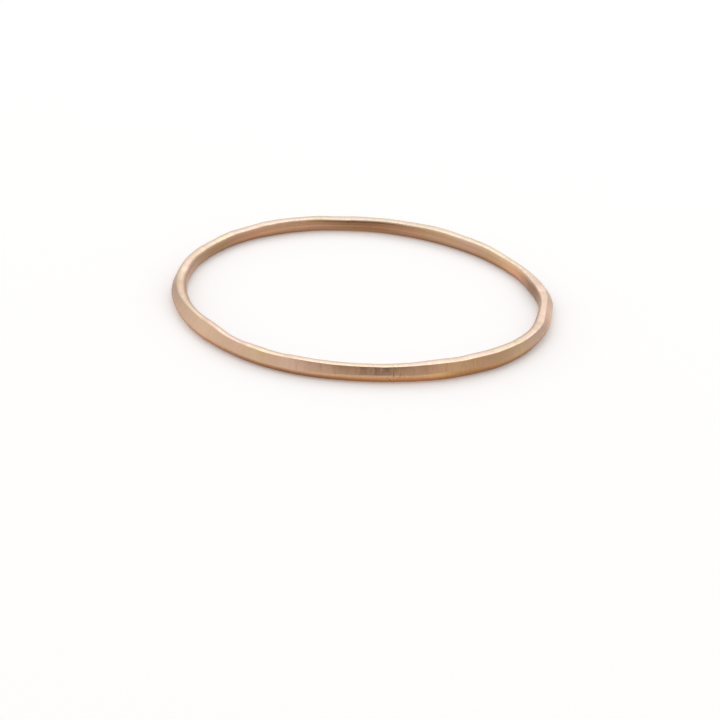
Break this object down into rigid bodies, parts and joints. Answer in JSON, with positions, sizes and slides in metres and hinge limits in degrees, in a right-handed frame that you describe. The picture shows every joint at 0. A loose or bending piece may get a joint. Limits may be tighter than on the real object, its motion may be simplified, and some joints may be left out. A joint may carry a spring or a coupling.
{
  "type": "stackable ring",
  "caption": "Slim plain stacking ring of hand-forged squarish gold wire with a satin finish, lying on its side.",
  "frame": {"origin": "on the axis of the finger hole, in the plane of the flat underside the ring lies on", "axes": "+Z along the finger hole, up; +X and +Y lie in the plane of the ring, which has no marked front"},
  "size_m": [0.0188, 0.0186, 0.0009],
  "materials": {
    "satin_gold": "satin"
  },
  "bodies": {
    "root": {"ring_band": "satin_gold"}
  },
  "joints": []
}
